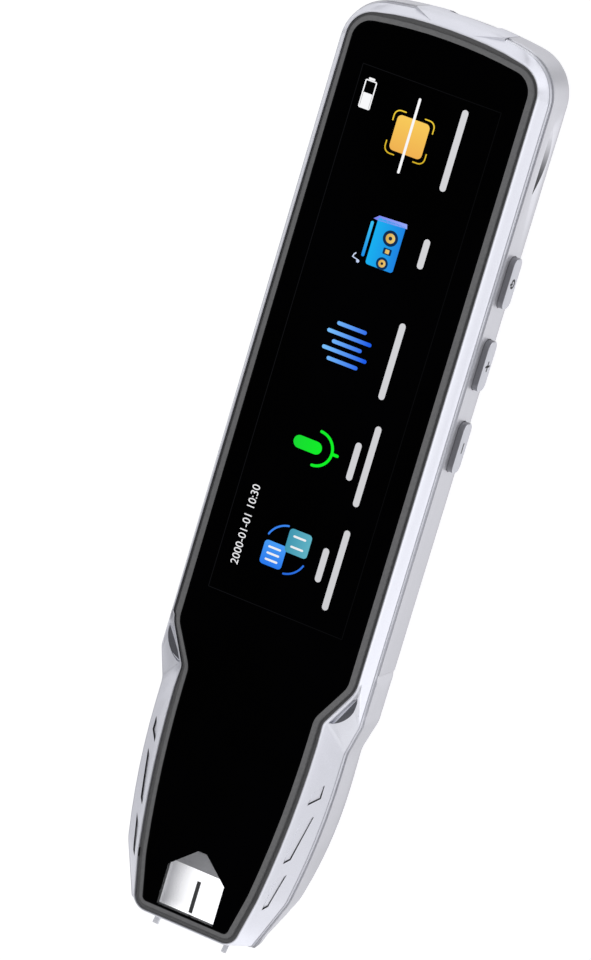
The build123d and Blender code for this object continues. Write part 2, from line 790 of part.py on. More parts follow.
def sight_well():
    """White tub under the sight window, its back end a ramp down to the floor."""
    foot = glass_plan.chin + 0.1
    tub = box(-well_half, well_half, foot, well_head, well_z, glass_z - glass_thickness)
    flange = box(-well_half - 1.2, well_half + 1.2, foot + 4.5, well_head + 1.0, well_z, plate_under_z)
    ramp = make_face(Polyline(
        (0, window_ridge + 1, well_floor), (0, window_ridge + 1, glass_z),
        (0, window_ridge - 0.2, seat_z + tape_thickness - 0.1), (0, window_ridge - 3.6, well_floor),
        close=True))
    hollow = window_outline(well_gap, well_floor, glass_z) - extrude(ramp, well_half, both=True)
    return tub + flange - hollow


def aiming_mark():
    low = window_foot - well_gap
    return box(-mark_width / 2, mark_width / 2, low, low + mark_length, well_floor, well_floor + 0.15)


# ---------------------------------------------------------------- bought-in parts
def battery_cell():
    low = wall + pad_thickness
    half = battery_width / 2
    cell = box(-half, half, battery_low, battery_high, low, low + battery_thickness)
    return fillet(cell.edges().filter_by(Axis.Y), battery_thickness / 4)


def battery_tape():
    half = battery_width / 2 - 2
    return box(-half, half, battery_low + 4, battery_high - 4, wall, wall + pad_thickness)


speaker_long = grille_length + 2 * speaker_margin
speaker_wide = grille_breadth + 2 * speaker_margin
speaker_corner = 3.0


def speaker_face(inset):
    return RectangleRounded(speaker_long - 2 * inset, speaker_wide - 2 * inset, speaker_corner - inset)


def speaker_gasket():
    return Pos(0, along(grille_at), wall) * extrude(speaker_face(0) - speaker_face(0.8), gasket_thickness)


def speaker():
    """Flat loudspeaker: frame, magnet behind and a recessed cone."""
    body = extrude(speaker_face(0), speaker_height)
    magnet = Pos(0, 0, speaker_height) * extrude(Circle(speaker_wide / 3), speaker_height * 0.45)
    cone = extrude(speaker_face(1.1), 0.4)
    return Pos(0, along(grille_at), wall + gasket_thickness) * (body + magnet - cone)


def usb_socket():
    """Shell, tongue and solder base of the charging socket."""
    def outline(inset):
        return RectangleRounded(usb_width - 2 * inset, usb_height - 2 * inset, usb_height / 2 - inset - 0.05)

    shell = extrude(Plane.XZ * (outline(0) - outline(usb_wall)), usb_depth)
    back = Pos(0, 0.5 - usb_depth, 0) * extrude(Plane.XZ * outline(0), 0.5)
    tongue = Pos(0, -usb_depth / 2 - 0.3, 0) * Box(0.75 * usb_width, usb_depth - 1.0, 0.7)
    base = box(-0.42 * usb_width, 0.42 * usb_width, -usb_depth, 4 - usb_depth,
               usb_height / 2 - 0.2, board_z - usb_z)
    return Pos(0, top_end - usb_inset, usb_z) * (shell + back + tongue + base)


def microphone():
    return box(board_half - 4.4, board_half - 1.4, along(14.2), along(12.0), board_z - 1.0, board_z)


camera_end = up(18.5)
camera_height = 3.2
lens_length = 2.4


def camera():
    """Small camera under the chassis plate that looks down the pen towards the tip."""
    return box(-camera_height, camera_height, camera_end, camera_end + 5, plate_z - camera_height, plate_z)


def camera_lens():
    barrel = Rot(90, 0, 0) * Cylinder(1.45, lens_length)
    return Pos(0, camera_end - lens_length / 2, plate_z - camera_height / 2) * barrel


def scan_leds():
    return both_sides(box(4.0, 5.6, camera_end - 1.2, camera_end, plate_z - 0.9, plate_z))


def light_diffuser():
    """Frosted bar in front of the lamps."""
    return box(-5.6, 5.6, camera_end - 4.2, camera_end - 3.4, plate_z - 1.3, plate_z)


def antenna():
    return box(-board_half + 3.6, board_half - 3.6, panel_top + 0.5, panel_top + 4.0, frame_z, frame_z + 0.15)


os.makedirs("parts", exist_ok=True)
pieces = {
    "front_glass": front_glass(),
    "sight_window": window_outline(0, glass_z - glass_thickness, glass_z),
    "glass_tape": glass_tape(),
    "bezel_trim": bezel_trim(),
    "front_frame": front_frame(),
    "sight_well": sight_well(),
    "aiming_mark": aiming_mark(),
    "display_panel": display_panel(),
    "display_bond": display_bond(),
    "display_cushion": display_cushion(),
    "display_flex": display_flex(),
    "mid_chassis": mid_chassis(),
    "main_board": main_board(),
    "board_chips": board_chips(),
    "board_screws": board_screws(),
    "battery": battery_cell(),
    "battery_tape": battery_tape(),
    "speaker": speaker(),
    "speaker_gasket": speaker_gasket(),
    "microphone": microphone(),
    "antenna": antenna(),
    "usb_socket": usb_socket(),
    "camera": camera(),
    "camera_lens": camera_lens(),
    "scan_leds": scan_leds(),
    "light_diffuser": light_diffuser(),
    "scan_hood": scan_hood(),
    "scan_tip": scan_tip(),
    "tip_switch": tip_switch(),
    "tip_spring": tip_spring(),
    "side_key_board": side_key_board(),
    "side_key_switches": side_key_switches(),
    "rear_cover": rear_cover(),
}
for name, place in zip(key_names, key_places):
    pieces[name] = key(place)
for name, shape in pieces.items():
    export_step(shape, f"parts/{name}.step")
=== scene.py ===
import json

import bmesh
import bpy
import numpy as np
from mathutils import Matrix, Vector

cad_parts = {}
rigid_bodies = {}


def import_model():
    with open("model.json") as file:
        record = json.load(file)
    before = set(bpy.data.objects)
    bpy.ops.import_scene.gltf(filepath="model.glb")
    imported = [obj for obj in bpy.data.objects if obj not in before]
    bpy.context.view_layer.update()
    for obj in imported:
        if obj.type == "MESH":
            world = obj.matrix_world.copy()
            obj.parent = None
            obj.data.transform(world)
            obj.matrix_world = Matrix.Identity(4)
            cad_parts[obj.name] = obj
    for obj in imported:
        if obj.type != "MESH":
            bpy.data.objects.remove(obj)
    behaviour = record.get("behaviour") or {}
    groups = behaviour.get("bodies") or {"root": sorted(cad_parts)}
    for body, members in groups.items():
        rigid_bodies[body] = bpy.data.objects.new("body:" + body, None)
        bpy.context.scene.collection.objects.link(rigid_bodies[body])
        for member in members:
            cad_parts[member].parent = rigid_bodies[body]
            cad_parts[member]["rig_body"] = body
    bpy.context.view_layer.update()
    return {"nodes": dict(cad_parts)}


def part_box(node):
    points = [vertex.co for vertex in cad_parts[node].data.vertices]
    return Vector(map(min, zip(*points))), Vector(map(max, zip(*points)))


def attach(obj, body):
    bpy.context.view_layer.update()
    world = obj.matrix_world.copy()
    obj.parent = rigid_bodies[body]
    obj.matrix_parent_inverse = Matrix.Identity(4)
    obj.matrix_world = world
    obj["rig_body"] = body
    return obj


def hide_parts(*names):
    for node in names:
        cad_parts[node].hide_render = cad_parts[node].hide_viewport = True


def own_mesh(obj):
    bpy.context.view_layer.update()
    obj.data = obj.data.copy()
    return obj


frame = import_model()
nodes = frame["nodes"]


# ---------------------------------------------------------------- rear cover
# One moulded shell of hard plastic, flat along the middle and curved up to the chin, sprayed with
# a silver lacquer that carries fine metal flakes.  It snaps to the chassis all round.

def linear(red, green, blue):
    """Scene colour of a screen colour given from 0 to 255: the sRGB curve undone."""
    shade = np.array([red, green, blue]) / 255.0
    return (*np.where(shade <= 0.04045, shade / 12.92, ((shade + 0.055) / 1.055) ** 2.4), 1.0)


def points_of(mesh):
    """The places of a mesh's points, one row each."""
    points = np.empty(3 * len(mesh.vertices), np.float32)
    mesh.vertices.foreach_get("co", points)
    return points.reshape(-1, 3).astype(float)


def move_points(mesh, points):
    """Puts the points of a mesh at new places, one row each."""
    mesh.vertices.foreach_set("co", points.astype(np.float32).ravel())


weld_gap, shortest_edge = 0.000002, 0.0000001


def dressed_copy(node, sharp=0.5, highest=None):
    """A copy of a solid's skin with its doubles merged and its faces smooth up to the angle sharp.

    highest, where given, is (axis, metres): points past it are brought back to it.
    """
    mesh = nodes[node].data.copy()
    skin = bmesh.new()
    skin.from_mesh(mesh)
    bmesh.ops.remove_doubles(skin, verts=skin.verts, dist=weld_gap)
    bmesh.ops.dissolve_degenerate(skin, edges=skin.edges, dist=shortest_edge)
    for edge in skin.edges:
        edge.smooth = len(edge.link_faces) == 2 and edge.calc_face_angle(0.0) < sharp
    for face in skin.faces:
        face.smooth = True
    skin.to_mesh(mesh)
    skin.free()
    mesh.materials.clear()
    if highest:
        axis, limit = highest
        points = points_of(mesh)
        points[:, axis] = np.minimum(points[:, axis], limit)
        move_points(mesh, points)
    piece = bpy.data.objects.new(node + "_skin", mesh)
    bpy.context.scene.collection.objects.link(piece)
    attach(piece, nodes[node]["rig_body"])
    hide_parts(node)
    return piece


# the outline of the glass: the points of its underside, less those round its window, in turn
window_half, window_from, window_to = 0.0052, -0.0727, -0.058
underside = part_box("front_glass")[0].z + 0.00001
glass_rim = points_of(nodes["front_glass"].data)
across, along = np.abs(glass_rim[:, 0]), glass_rim[:, 1]
in_window = (across < window_half) & (along < window_to) & (along > window_from)
glass_rim = glass_rim[(glass_rim[:, 2] < underside) & ~in_window, :2]
glass_rim = glass_rim[np.argsort(np.arctan2(glass_rim[:, 1], glass_rim[:, 0]))]

shoulder_start, shoulder_run = -0.0385, 0.006
apron_start, apron_half, apron_run = 0.071, 0.0082, 0.0045


def reshape(piece, rule):
    """Moves the points of a skin outwards from the glass and upwards, by what rule gives for them.

    rule takes each point's distance outside the outline of the glass, its height and its share: 0 on the
    nose, 1 above the shoulders and 0 again round the apron of the top end.  The outline's segments run
    anticlockwise, so outside is on their right.
    """
    mesh = piece.data
    points = points_of(mesh)
    step = np.roll(glass_rim, -1, axis=0) - glass_rim
    reach = points[:, None, :2] - glass_rim[None]
    part = np.clip((reach * step).sum(2) / np.maximum((step * step).sum(1), 1e-15), 0, 1)
    gap = reach - part[..., None] * step
    nearest = np.linalg.norm(gap, axis=2).argmin(1)
    gap = gap[np.arange(len(points)), nearest]
    along = step[nearest]
    side = np.where(along[:, 0] * gap[:, 1] - along[:, 1] * gap[:, 0] < 0, 1.0, -1.0)
    distance = side * np.linalg.norm(gap, axis=1)
    away = gap / np.where(np.abs(distance) < 1e-9, 1e-9, distance)[:, None]
    share = np.clip((points[:, 1] - shoulder_start) / shoulder_run, 0, 1)
    beside_apron = np.clip((np.abs(points[:, 0]) - apron_half) / apron_run, 0, 1)
    share *= np.where(points[:, 1] > apron_start, beside_apron, 1)
    out, rise = rule(distance, points[:, 2], share)
    points[:, :2] += away * np.broadcast_to(out, share.shape)[:, None]
    points[:, 2] += rise
    move_points(mesh, points)
    mesh.update()


def shader_of(material):
    """A material's node tree and the shader in it."""
    material.use_nodes = True
    tree = material.node_tree
    return tree, tree.nodes["Principled BSDF"]


def axis_ramp(tree, axis, start, end, first=0.0, last=1.0, smooth=False):
    """A number that runs from first to last between two places on one of the object's axes."""
    place = tree.nodes.new("ShaderNodeTexCoord")
    parts = tree.nodes.new("ShaderNodeSeparateXYZ")
    tree.links.new(place.outputs["Object"], parts.inputs["Vector"])
    ramp = tree.nodes.new("ShaderNodeMapRange")
    ramp.interpolation_type = "SMOOTHSTEP" if smooth else "LINEAR"
    ramp.inputs["From Min"].default_value = start
    ramp.inputs["From Max"].default_value = end
    ramp.inputs["To Min"].default_value = first
    ramp.inputs["To Max"].default_value = last
    tree.links.new(parts.outputs[axis], ramp.inputs["Value"])
    return ramp.outputs["Result"]


def product(tree, first, second):
    """The product of two numbers."""
    times = tree.nodes.new("ShaderNodeMath")
    times.operation = "MULTIPLY"
    tree.links.new(first, times.inputs[0])
    tree.links.new(second, times.inputs[1])
    return times.outputs["Value"]


def blended(tree, share, first, second):
    """The colour that goes from first to second as share goes from 0 to 1; first may be a node's output."""
    mix = tree.nodes.new("ShaderNodeMix")
    mix.data_type = "RGBA"
    mix.inputs["B"].default_value = second
    tree.links.new(share, mix.inputs["Factor"])
    if isinstance(first, tuple):
        mix.inputs["A"].default_value = first
    else:
        tree.links.new(first, mix.inputs["A"])
    return mix.outputs["Result"]


def wandering(name, first, second, grain, roughness, metallic=0.0, relief=0.0, spread=0.06, specular=0.5):
    """A finish whose colour wanders between two tones with a noise of that grain in metres.

    The same noise moves the roughness by spread, and a finer one gives relief in metres.
    """
    material = bpy.data.materials.new(name)
    tree, shader = shader_of(material)
    place = tree.nodes.new("ShaderNodeTexCoord")
    noise = tree.nodes.new("ShaderNodeTexNoise")
    noise.inputs["Scale"].default_value = 1.0 / grain
    noise.inputs["Detail"].default_value = 3.0
    tree.links.new(place.outputs["Object"], noise.inputs["Vector"])
    tone = tree.nodes.new("ShaderNodeValToRGB")
    tone.color_ramp.elements[0].position = 0.35
    tone.color_ramp.elements[0].color = first
    tone.color_ramp.elements[1].position = 0.65
    tone.color_ramp.elements[1].color = second
    tree.links.new(noise.outputs["Fac"], tone.inputs["Fac"])
    tree.links.new(tone.outputs["Color"], shader.inputs["Base Color"])
    rough = tree.nodes.new("ShaderNodeMapRange")
    rough.inputs["To Min"].default_value = roughness - spread / 2
    rough.inputs["To Max"].default_value = roughness + spread / 2
    tree.links.new(noise.outputs["Fac"], rough.inputs["Value"])
    tree.links.new(rough.outputs["Result"], shader.inputs["Roughness"])
    shader.inputs["Metallic"].default_value = metallic
    shader.inputs["Specular IOR Level"].default_value = specular
    if relief:
        fine = tree.nodes.new("ShaderNodeTexNoise")
        fine.inputs["Scale"].default_value = 6.0 / grain
        fine.inputs["Detail"].default_value = 2.0
        tree.links.new(place.outputs["Object"], fine.inputs["Vector"])
        bump = tree.nodes.new("ShaderNodeBump")
        bump.inputs["Strength"].default_value = 1.0
        bump.inputs["Distance"].default_value = relief
        tree.links.new(fine.outputs["Fac"], bump.inputs["Height"])
        tree.links.new(bump.outputs["Normal"], shader.inputs["Normal"])
    return material


def flaked(name, base, flake, metallic, roughness, coat, cell=0.00007):
    """Silver lacquer of cells, each a little lighter or darker and a little tilted, under a clear coat."""
    material = bpy.data.materials.new(name)
    tree, shader = shader_of(material)
    place = tree.nodes.new("ShaderNodeTexCoord")
    cells = tree.nodes.new("ShaderNodeTexVoronoi")
    cells.inputs["Scale"].default_value = 1.0 / cell
    tree.links.new(place.outputs["Object"], cells.inputs["Vector"])
    split = tree.nodes.new("ShaderNodeSeparateColor")
    tree.links.new(cells.outputs["Color"], split.inputs["Color"])
    tree.links.new(blended(tree, split.outputs["Red"], base, flake), shader.inputs["Base Color"])
    rough = tree.nodes.new("ShaderNodeMapRange")
    rough.inputs["To Min"].default_value = roughness - 0.02
    rough.inputs["To Max"].default_value = roughness + 0.02
    tree.links.new(split.outputs["Green"], rough.inputs["Value"])
    tree.links.new(rough.outputs["Result"], shader.inputs["Roughness"])
    bump = tree.nodes.new("ShaderNodeBump")
    bump.inputs["Strength"].default_value = 0.05
    bump.inputs["Distance"].default_value = 0.000002
    tree.links.new(split.outputs["Blue"], bump.inputs["Height"])
    tree.links.new(bump.outputs["Normal"], shader.inputs["Normal"])
    shader.inputs["Metallic"].default_value = metallic
    shader.inputs["Coat Weight"].default_value = coat
    shader.inputs["Coat Roughness"].default_value = 0.12
    return material


# the seams between the shells lie higher on the body than on the nose
wall_start, cover_rim, seam_rise = 0.0012, 0.00839, 0.0011
cover = dressed_copy("rear_cover", sharp=0.6)
reshape(cover, lambda d, z, share: (0, np.where((d > wall_start) & (z > cover_rim), seam_rise * share, 0)))
cover_lacquer = flaked(
    "cover_lacquer", linear(219, 219, 222), linear(227, 227, 230), metallic=0.85, roughness=0.34, coat=0.3)
cover.data.materials.append(cover_lacquer)


def painted_back_shade(material, tone, low, high):
    """Blends the lacquer towards tone from the height high down to low: painted shade that darkens the back.
    """
    tree, shader = shader_of(material)
    fade = axis_ramp(tree, "Z", low, high, first=0.8, last=0.0, smooth=True)
    lacquer = shader.inputs["Base Color"].links[0].from_socket
    tree.links.new(blended(tree, fade, lacquer, tone), shader.inputs["Base Color"])


def painted_hollow_shade(material, low, high, dark, light):
    """Paints shade on the lacquer inside the box from low to high, darkest at dark and least at light along
    Y.
    """
    tree, shader = shader_of(material)
    place = tree.nodes.new("ShaderNodeTexCoord")
    parts = tree.nodes.new("ShaderNodeSeparateXYZ")
    tree.links.new(place.outputs["Object"], parts.inputs["Vector"])
    inside = None
    for number, name in enumerate("XYZ"):
        for operation, limit in (("GREATER_THAN", low[number]), ("LESS_THAN", high[number])):
            test = tree.nodes.new("ShaderNodeMath")
            test.operation = operation
            test.inputs[1].default_value = limit
            tree.links.new(parts.outputs[name], test.inputs[0])
            passed = test.outputs["Value"]
            inside = passed if inside is None else product(tree, inside, passed)
    weight = product(tree, inside, axis_ramp(tree, "Y", dark, light, first=0.98, last=0.1, smooth=True))
    lacquer = shader.inputs["Base Color"].links[0].from_socket
    tree.links.new(blended(tree, weight, lacquer, linear(10, 10, 11)), shader.inputs["Base Color"])


# painted shade: the lacquer of the back is blended darker below the height high
painted_back_shade(cover_lacquer, linear(136, 139, 152), low=0.0006, high=0.0036)

# painted shade on the walls and floors of the grip marks and of the ring
marks_from, marks_to, marks_half, marks_top = -0.005, 0.0655, 0.0160, 0.0022
ring_low, ring_high, ring_half = 0.00012, 0.0007, 0.008
steep, flat_down = 0.35, -0.98
groove_shade = wandering("groove_shade", linear(52, 54, 60), linear(66, 68, 75), grain=0.0005, roughness=0.5)
cover.data.materials.append(groove_shade)
for face in cover.data.polygons:
    place, facing = face.center, face.normal
    if marks_from < place.y < marks_to and place.z < marks_top and abs(place.x) < marks_half:
        in_ring = ring_low < place.z < ring_high and abs(place.x) < ring_half
        face.material_index = int(abs(facing.z) < steep or (in_ring and facing.z < flat_down))

# painted shade in the scoop on the side of the cover, darkest at its lower end
scoop_low, scoop_high = (0.0160, 0.0520, 0.0042), (0.01798, 0.0650, 0.0072)
painted_hollow_shade(cover_lacquer, scoop_low, scoop_high, dark=0.0545, light=0.0640)


# ---------------------------------------------------------------- battery
# A lithium pouch cell wrapped in aluminium foil.  A strip of black tape under it sticks it to the floor
# of the cover.

foil = wandering("pouch_foil", linear(176, 179, 184), linear(205, 207, 211), grain=0.004,
                 roughness=0.38, metallic=0.9, relief=0.00002)
battery = dressed_copy("battery")
battery.data.materials.append(foil)
black_tape = wandering("black_tape", linear(16, 16, 17), linear(26, 26, 27), grain=0.0008,
                       roughness=0.75, relief=0.00001)


def dress(node, material):
    """Gives a solid that stays as it is its finish."""
    nodes[node].data.materials.clear()
    nodes[node].data.materials.append(material)


dress("battery_tape", black_tape)


# ---------------------------------------------------------------- loudspeaker
# A flat moulded loudspeaker on a foam ring, behind the sound holes.  A black woven cloth between
# them keeps the dust out.

dress("speaker", wandering("speaker_shell", linear(30, 30, 33), linear(42, 42, 45), grain=0.0015,
                           roughness=0.55, relief=0.00001))
foam = wandering("black_foam", linear(20, 20, 21), linear(34, 34, 35), grain=0.0004,
                 roughness=0.95, relief=0.00006)
dress("speaker_gasket", foam)


def woven_cloth(middle, half_x, half_y, height, pitch, swell, steps):
    """Height of a plain weave: height + swell * sin(pi x / pitch) * sin(pi y / pitch), in a rounded field.

    The square grid of (u, v) is drawn in towards a superellipse, so its rim has no corners.
    """
    u, v = np.meshgrid(np.linspace(-1, 1, steps), np.linspace(-1, 1, steps))
    draw = 1.0 / np.maximum((np.abs(u) ** 6 + np.abs(v) ** 6) ** (1 / 6) / np.maximum(
        np.maximum(np.abs(u), np.abs(v)), 1e-9), 1.0)
    x, y = u * draw * half_x, v * draw * half_y
    z = height + swell * np.sin(np.pi * x / pitch) * np.sin(np.pi * y / pitch)
    points = np.stack([x + middle[0], y + middle[1], z], axis=-1).reshape(-1, 3)
    row = np.arange(steps - 1)
    first = (row[:, None] * steps + row[None, :]).ravel()
    faces = np.stack([first, first + steps, first + steps + 1, first + 1], axis=-1)
    return points, faces


def piece_of(name, points, faces, body, material, smooth=True):
    """Makes an object of points in metres and faces, and lets it ride on its body."""
    mesh = bpy.data.meshes.new(name)
    mesh.from_pydata(np.asarray(points).tolist(), [], [list(map(int, face)) for face in faces])
    mesh.validate()
    mesh.polygons.foreach_set("use_smooth", [smooth] * len(mesh.polygons))
    mesh.materials.append(material)
    piece = bpy.data.objects.new(name, mesh)
    bpy.context.scene.collection.objects.link(piece)
    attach(piece, body)
    return piece


cloth_inset, cloth_height = 0.0012, 0.00152
speaker_low, speaker_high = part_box("speaker")
speaker_middle = (speaker_low + speaker_high) / 2
points, faces = woven_cloth(
    (speaker_middle.x, speaker_middle.y), (speaker_high.x - speaker_low.x) / 2 - cloth_inset,
    (speaker_high.y - speaker_low.y) / 2 - cloth_inset, cloth_height, pitch=0.00022, swell=0.00003, steps=150)
piece_of("speaker_cloth", points, faces, "housing", wandering(
    "dust_cloth", linear(12, 13, 20), linear(22, 23, 31), grain=0.0005, roughness=0.85))


# ---------------------------------------------------------------- chassis
# A tray of cast magnesium between the two shells, lacquered silver.  The display lies on its plate, the
# board hangs from its bosses, and its outer edge shows as the seam.

silver = flaked(
    "silver_lacquer", linear(236, 237, 242), linear(243, 244, 249), metallic=0.8, roughness=0.32, coat=0.25)
chassis = dressed_copy("mid_chassis", sharp=0.6)
chassis.data.materials.append(silver)
reshape(chassis, lambda d, z, share: (0, np.where(d > wall_start, seam_rise * share, 0)))


# ---------------------------------------------------------------- main board
# A green fibreglass board hung from the chassis by four screws, with its chips, microphone,
# printed tail to the display, antenna foil and charging socket.

solder_mask = wandering("solder_mask", linear(22, 74, 44), linear(30, 92, 56), grain=0.0025,
                        roughness=0.4, relief=0.00001)
dress("main_board", solder_mask)
chip_black = wandering("chip_moulding", linear(28, 28, 29), linear(40, 40, 42), grain=0.0006,
                       roughness=0.6, relief=0.00001)
dress("board_chips", chip_black)
screw_steel = wandering("screw_steel", linear(165, 166, 168), linear(205, 206, 208), grain=0.0008,
                        roughness=0.32, metallic=1.0)
screws = dressed_copy("board_screws")
screws.data.materials.append(screw_steel)
tin = wandering("tin_plate", linear(182, 182, 178), linear(212, 212, 208), grain=0.0012,
                roughness=0.3, metallic=1.0, relief=0.000004)
dress("microphone", tin)
amber = wandering("amber_film", linear(150, 92, 26), linear(184, 118, 40), grain=0.0015, roughness=0.35)
dress("display_flex", amber)
dress("antenna", amber)
socket = dressed_copy("usb_socket", sharp=0.6)
socket.data.materials.append(tin)


# ---------------------------------------------------------------- scanning camera
# A small camera under the chassis plate looks down the body to the tip, between two lamps behind
# a frosted bar.

dress("camera", chip_black)
lens = dressed_copy("camera_lens")
lens.data.materials.append(wandering(
    "coated_lens", linear(28, 30, 46), linear(40, 44, 66), grain=0.0012, roughness=0.08))
dress("scan_leds", wandering("lamp_phosphor", linear(238, 226, 160), linear(250, 240, 190), grain=0.0005,
                             roughness=0.4))
dress("light_diffuser", wandering("frosted_bar", linear(226, 228, 230), linear(240, 241, 242), grain=0.0006,
                                  roughness=0.6, relief=0.00001))


# ---------------------------------------------------------------- side keys
# Three moulded keys in the silver lacquer, each held in by a lip and printed with its sign in black.
# Behind them stands their narrow board with three tact switches.

key_paint = flaked(
    "key_lacquer", linear(214, 215, 220), linear(222, 223, 227), metallic=0.8, roughness=0.34, coat=0.2)
# painted shade: a darker copy of the key lacquer for the flanks of the keys
key_flank_shade = flaked(
    "key_flank_shade", linear(138, 138, 142), linear(148, 148, 152), metallic=0.8, roughness=0.4, coat=0.1)
dress("side_key_board", solder_mask)
dress("side_key_switches", tin)


def stroke(path, width, ends=8):
    """Outline of a line of that width along the path's points, with round ends.

    The path is moved sideways by half the width to both sides along its normals, and half circles join
    the two sides.
    """
    path = np.asarray(path, float)
    along = np.gradient(path, axis=0)
    along /= np.linalg.norm(along, axis=1)[:, None]
    side = np.stack([-along[:, 1], along[:, 0]], axis=1)
    half = width / 2
    turn = np.linspace(-np.pi / 2, np.pi / 2, ends)[1:-1]
    far = path[-1] + half * (np.cos(turn)[:, None] * along[-1] + np.sin(turn)[:, None] * side[-1])
    near = path[0] - half * (np.cos(turn)[:, None] * along[0] + np.sin(turn)[:, None] * side[0])
    return np.concatenate([path - half * side, far, (path + half * side)[::-1], near])


def upright(outline, low, high, axes=(0, 1, 2)):
    """A closed outline carried straight from low to high, with both ends capped.

    axes says which space axes the outline's two directions and its height lie along.
    """
    count = len(outline)
    points = np.zeros((2 * count, 3))
    for end, level in enumerate((low, high)):
        block = points[end * count:(end + 1) * count]
        block[:, axes[0]], block[:, axes[1]], block[:, axes[2]] = outline[:, 0], outline[:, 1], level
    ring = np.arange(count)
    after = (ring + 1) % count
    walls = np.stack([ring, after, after + count, ring + count], axis=1).tolist()
    faces = [ring[::-1].tolist(), *walls, (ring + count).tolist()]
    return points, faces


def joined(shapes):
    """Several (points, faces) as one."""
    points, faces, start = [], [], 0
    for some, these in shapes:
        points.append(some)
        faces += [[start + int(corner) for corner in face] for face in these]
        start += len(some)
    return np.concatenate(points), faces


def turned_out(piece):
    """Makes the faces of closed forms point outwards."""
    skin = bmesh.new()
    skin.from_mesh(piece.data)
    bmesh.ops.recalc_face_normals(skin, faces=skin.faces)
    skin.to_mesh(piece.data)
    skin.free()


def arc(middle, radius, first, last, steps=24):
    """Points of a circular arc between two angles in degrees."""
    turn = np.radians(np.linspace(first, last, steps))
    return np.stack([middle[0] + radius * np.cos(turn), middle[1] + radius * np.sin(turn)], axis=1)


key_face, sign_root, sign_face = 0.01903, 0.01898, 0.019045
sign_line, sign_reach, ring_radius, tick_rises = 0.00036, 0.0007, 0.00062, (0.0002, 0.0005, 0.0009)
flank_limit = 0.35
sign_ink = wandering("sign_ink", linear(6, 6, 7), linear(12, 12, 13), grain=0.0003, roughness=0.6)
for node, sign in (("power_key", "power"), ("volume_up_key", "plus"), ("volume_down_key", "minus")):
    cap = dressed_copy(node, sharp=0.6, highest=(0, key_face))
    cap.data.materials.append(key_paint)
    cap.data.materials.append(key_flank_shade)
    # the flanks, which do not face out to the side, take the painted shade
    for face in cap.data.polygons:
        face.material_index = int(face.normal.x < flank_limit)
    low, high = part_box(node)
    y, z = (low.y + high.y) / 2, (low.z + high.z) / 2
    level = [(y - sign_reach, z), (y, z), (y + sign_reach, z)]
    upward = [(y, z - sign_reach), (y, z), (y, z + sign_reach)]
    lines = {
        "power": [arc((y, z), ring_radius, 125, 415), [(y, z + rise) for rise in tick_rises]],
        "plus": [level, upward],
        "minus": [level],
    }[sign]
    points, faces = joined([
        upright(stroke(path, sign_line), sign_root, sign_face, (1, 2, 0)) for path in lines])
    turned_out(piece_of(sign + "_sign", points, faces, node, sign_ink, smooth=False))


# ---------------------------------------------------------------- scan tip
# A white moulded nose with two feeler legs, which slides in as it is set on the paper; the fixed
# hood inside it, the return spring and the tact switch.

white = wandering("white_moulding", linear(232, 233, 236), linear(242, 243, 245), grain=0.006,
                  roughness=0.36, relief=0.000004)
tip = dressed_copy("scan_tip", sharp=0.6)
tip.data.materials.append(white)
dress("scan_hood", white)
dress("tip_switch", chip_black)
spring = dressed_copy("tip_spring")
spring.data.materials.append(screw_steel)
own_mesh(spring)


# ---------------------------------------------------------------- front frame
# The silver front shell: a narrow rim round the glass, flared sides and two broad facets at the nose.
# It is cast in one piece of light metal, lacquered and seated on the edge of the chassis.

front = dressed_copy("front_frame", sharp=0.5)
front.data.materials.append(silver)

rim_from, rim_to, rim_low, rim_crest = 0.0015, 0.0021, 0.0124, 0.0128
crest_in, crest_drop, edge_in, edge_drop = 0.0003, 0.0002, 0.00028, 0.00038
foot_from, foot_low, foot_high, foot_run = 0.0023, 0.0095, 0.0122, 0.0026


def frame_rule(d, z, share):
    """The rim comes in and down, its outer edge more so; the foot rises, and what is above it rises less."""
    rim = (d > rim_from) & (d < rim_to)
    crest = rim & (z > rim_crest)
    edge = rim & (z > rim_low) & (z <= rim_crest)
    foot = (d > foot_from) & (z > foot_low)
    foot_rise = seam_rise * np.clip((foot_high - z) / foot_run, 0, 1)
    out = np.select([crest, edge], [-crest_in, -edge_in], 0) * share
    rise = np.select([crest, edge, foot], [-crest_drop, -edge_drop, foot_rise], 0) * share
    return out, rise


reshape(front, frame_rule)
# a dark finish: painted shade for the walls of the recesses and their shadow strips
cut_shade = wandering("cut_shade", linear(30, 30, 33), linear(40, 40, 44), grain=0.0005, roughness=0.6)
front.data.materials.append(cut_shade)
# a darker copy of the silver lacquer: painted shade for the floors of the shoulder pockets
front.data.materials.append(flaked(
    "pocket_floor_shade", linear(104, 105, 110), linear(118, 119, 124), metallic=0.8, roughness=0.3, coat=0.2))

# painted shade on the outer and lower walls of the slanted recesses, and painted shade on the floors of the
# shoulder pockets
recess_from, recess_to, recess_low, recess_in, widest_wall = -0.0705, -0.0425, 0.0098, 0.0105, 0.0000019
pocket_from, pocket_to, pocket_low, pocket_high, pocket_in = -0.038, -0.027, 0.0112, 0.0122, 0.0125
upright_wall, level_floor = 0.05, 0.9
for face in front.data.polygons:
    place, facing, outwards = face.center, face.normal, abs(face.center.x)
    in_recess = recess_from < place.y < recess_to and place.z > recess_low and outwards > recess_in
    if in_recess and face.area < widest_wall:
        face.material_index = int(abs(facing.z) < upright_wall and facing.x * place.x < 0)
    in_pocket = pocket_from < place.y < pocket_to and outwards > pocket_in
    if in_pocket and pocket_low < place.z < pocket_high and facing.z > level_floor:
        face.material_index = 2

corner_reach, strip_low, strip_half = 0.00006, 0.009, 0.00005
outer_points, lower_points, narrow_end, wide_end = 9, 6, 0.33, 2.0


